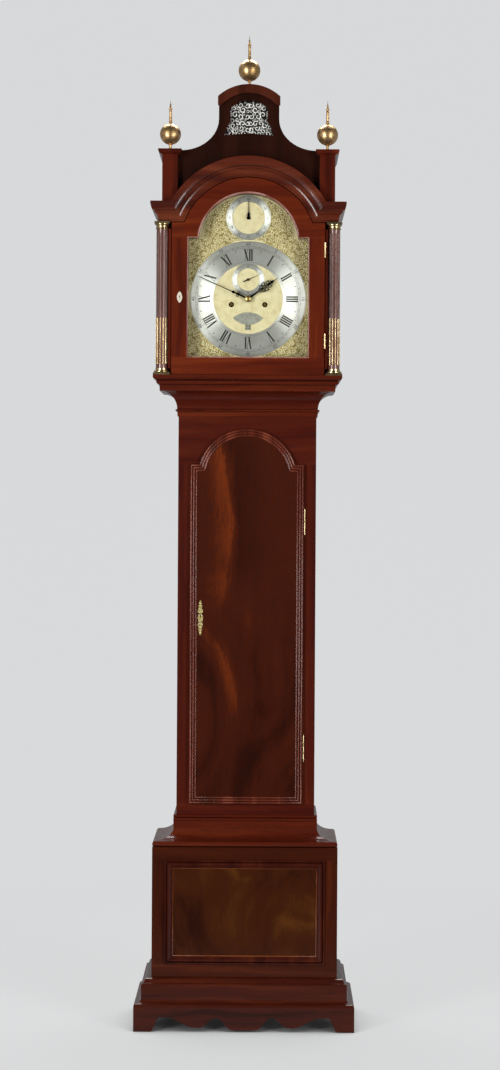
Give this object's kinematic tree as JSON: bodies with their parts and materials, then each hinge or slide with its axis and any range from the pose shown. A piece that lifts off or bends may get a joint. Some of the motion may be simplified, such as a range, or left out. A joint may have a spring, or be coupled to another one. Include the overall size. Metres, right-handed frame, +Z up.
{
  "type": "longcase clock",
  "caption": "Tall mahogany longcase clock with a bell-topped hood, arched brass dial, hinged doors and an eight-day weight-driven movement.",
  "frame": {"origin": "middle of the footprint at floor level, under the plinth skirt", "axes": "+Z up, the dial and doors face -Y, +X to the right as seen from the front"},
  "size_m": [0.54, 0.289, 2.4494],
  "materials": {
    "mahogany_dark": "french polish",
    "mahogany_figured": "french polish",
    "mahogany_red": "french polish",
    "backboard_oak": "unpolished",
    "polished_brass": "polished",
    "gilt_brass": "matted",
    "movement_brass": "lacquered",
    "silvered_brass": "silvered",
    "blued_steel": "blued",
    "arbor_steel": "polished",
    "fret_silver": "silvered",
    "bell_metal": "polished",
    "window_glass": "clear",
    "gut": "satin",
    "lead_brass": "satin"
  },
  "bodies": {
    "case": {"plinth_skirt": "mahogany_dark", "base_carcase": "mahogany_figured", "base_panel_moulding": "mahogany_figured", "base_cove_moulding": "mahogany_dark", "trunk_carcase": "mahogany_dark", "backboard": "backboard_oak", "throat_moulding": "mahogany_dark", "seatboard": "backboard_oak", "trunk_hinges": "polished_brass", "dial_plate": "gilt_brass", "chapter_ring": "silvered_brass", "spandrels": "gilt_brass", "seconds_ring": "silvered_brass", "arch_ring": "silvered_brass", "name_plaque": "silvered_brass", "front_plate": "movement_brass", "back_plate": "movement_brass", "back_cock": "movement_brass", "bell_stand": "bell_metal"},
    "trunk_door": {"trunk_door": "mahogany_figured", "trunk_door_moulding": "mahogany_red", "trunk_door_leaves": "polished_brass", "trunk_lock": "polished_brass"},
    "hood": {"hood_base_moulding": "mahogany_dark", "hood_frame": "mahogany_red", "hood_cornice": "mahogany_red", "hood_columns": "mahogany_dark", "column_brasses": "polished_brass", "bell_top": "mahogany_dark", "sound_fret": "fret_silver", "finial_blocks": "mahogany_dark", "finials": "polished_brass", "hood_hinges": "polished_brass"},
    "hood_door": {"hood_door": "mahogany_red", "hood_glass": "window_glass", "hood_door_leaves": "polished_brass", "hood_lock": "silvered_brass"},
    "minute": {"minute_hand": "blued_steel", "cannon_wheel": "movement_brass"},
    "hour": {"hour_hand": "blued_steel", "hour_wheel": "movement_brass"},
    "minute_wheel": {"minute_wheel": "movement_brass"},
    "escape": {"escape_wheel": "movement_brass", "seconds_hand": "blued_steel"},
    "third": {"third_wheel": "movement_brass"},
    "centre": {"centre_wheel": "movement_brass"},
    "going_great": {"going_great_wheel": "movement_brass"},
    "going_barrel": {"going_barrel": "movement_brass"},
    "strike_barrel": {"strike_barrel": "movement_brass"},
    "going_weight": {"going_weight": "lead_brass", "going_line": "gut"},
    "strike_weight": {"strike_weight": "lead_brass", "strike_line": "gut"},
    "going_pulley": {"going_pulley": "movement_brass"},
    "strike_pulley": {"strike_pulley": "movement_brass"},
    "anchor": {"anchor": "arbor_steel"},
    "pendulum": {"pendulum": "lead_brass"},
    "hammer": {"hammer": "arbor_steel"},
    "arch_hand": {"arch_hand": "blued_steel"},
    "date_ring": {"date_ring": "silvered_brass"}
  },
  "joints": [
    {"name": "trunk_door_swing", "type": "hinge", "parent": "case", "child": "trunk_door", "pos_m": [0.1425, -0.0488, 0.97], "axis": [0, 0, 1], "range_deg": [0, 110]},
    {"name": "hood_slide", "type": "slide", "parent": "case", "child": "hood", "axis": [0, -1, 0], "range_m": [0, 0.26]},
    {"name": "hood_door_swing", "type": "hinge", "parent": "hood", "child": "hood_door", "pos_m": [0.1894, -0.099, 1.8], "axis": [0, 0, 1], "range_deg": [0, 95]},
    {"name": "minute_hand_turn", "type": "hinge", "parent": "case", "child": "minute", "pos_m": [0, -0.0242, 1.798], "axis": [0, 1, 0], "continuous": true},
    {"name": "hour_hand_turn", "type": "hinge", "parent": "case", "child": "hour", "pos_m": [0, -0.0312, 1.798], "axis": [0, 1, 0], "continuous": true},
    {"name": "minute_wheel_turn", "type": "hinge", "parent": "case", "child": "minute_wheel", "pos_m": [0, -0.0242, 1.77], "axis": [0, 1, 0], "continuous": true},
    {"name": "escape_turn", "type": "hinge", "parent": "case", "child": "escape", "pos_m": [0, 0.033, 1.846], "axis": [0, 1, 0], "continuous": true},
    {"name": "third_wheel_turn", "type": "hinge", "parent": "case", "child": "third", "pos_m": [0.018, 0.028, 1.822], "axis": [0, 1, 0], "continuous": true},
    {"name": "centre_wheel_turn", "type": "hinge", "parent": "case", "child": "centre", "pos_m": [0, 0.0385, 1.798], "axis": [0, 1, 0], "continuous": true},
    {"name": "great_wheel_turn", "type": "hinge", "parent": "case", "child": "going_great", "pos_m": [0.0415, -0.009, 1.784], "axis": [0, 1, 0], "continuous": true},
    {"name": "going_weight_rise", "type": "slide", "parent": "case", "child": "going_weight", "axis": [0, 0, 1], "range_m": [0, 0.95], "deforming": ["going_line"]},
    {"name": "strike_weight_rise", "type": "slide", "parent": "case", "child": "strike_weight", "axis": [0, 0, 1], "range_m": [0, 0.95], "deforming": ["strike_line"]},
    {"name": "going_barrel_turn", "type": "hinge", "parent": "case", "child": "going_barrel", "pos_m": [0.0415, 0.0074, 1.784], "axis": [0, 1, 0], "range_deg": [0, 4800]},
    {"name": "strike_barrel_turn", "type": "hinge", "parent": "case", "child": "strike_barrel", "pos_m": [-0.0415, 0.0074, 1.784], "axis": [0, 1, 0], "range_deg": [0, 4800]},
    {"name": "going_pulley_turn", "type": "hinge", "parent": "going_weight", "child": "going_pulley", "pos_m": [0.0415, 0.0074, 0.56], "axis": [0, 1, 0], "range_deg": [0, 2400]},
    {"name": "strike_pulley_turn", "type": "hinge", "parent": "strike_weight", "child": "strike_pulley", "pos_m": [-0.0415, 0.0074, 0.56], "axis": [0, 1, 0], "range_deg": [0, 2400]},
    {"name": "pendulum_swing", "type": "hinge", "parent": "case", "child": "pendulum", "pos_m": [0, 0.075, 1.878], "axis": [0, 1, 0], "range_deg": [-3, 3]},
    {"name": "anchor_rock", "type": "hinge", "parent": "case", "child": "anchor", "pos_m": [0, 0.051, 1.878], "axis": [0, 1, 0], "range_deg": [-3, 3]},
    {"name": "hammer_swing", "type": "hinge", "parent": "case", "child": "hammer", "pos_m": [-0.062, 0.022, 1.858], "axis": [0, -1, 0], "range_deg": [0, 12], "stiffness_Nm_per_rad": 0.05, "springref_deg": -5.73},
    {"name": "arch_hand_turn", "type": "hinge", "parent": "case", "child": "arch_hand", "pos_m": [0, -0.0505, 1.999], "axis": [0, 1, 0], "range_deg": [-90, 90]},
    {"name": "date_ring_turn", "type": "hinge", "parent": "case", "child": "date_ring", "pos_m": [0, -0.0505, 1.798], "axis": [0, 1, 0], "continuous": true}
  ],
  "couplings": [
    {"joint": "hour_hand_turn", "follows": "minute_hand_turn", "ratio": 0.083333},
    {"joint": "minute_wheel_turn", "follows": "minute_hand_turn", "ratio": -1},
    {"joint": "third_wheel_turn", "follows": "escape_turn", "ratio": -0.125},
    {"joint": "centre_wheel_turn", "follows": "escape_turn", "ratio": 0.016667},
    {"joint": "great_wheel_turn", "follows": "escape_turn", "ratio": -0.0013889},
    {"joint": "going_barrel_turn", "follows": "going_weight_rise", "rad_per_m": 87.719},
    {"joint": "strike_barrel_turn", "follows": "strike_weight_rise", "rad_per_m": 87.719},
    {"joint": "going_pulley_turn", "follows": "going_weight_rise", "rad_per_m": 43.86},
    {"joint": "strike_pulley_turn", "follows": "strike_weight_rise", "rad_per_m": 43.86},
    {"joint": "anchor_rock", "follows": "pendulum_swing", "ratio": 1}
  ]
}
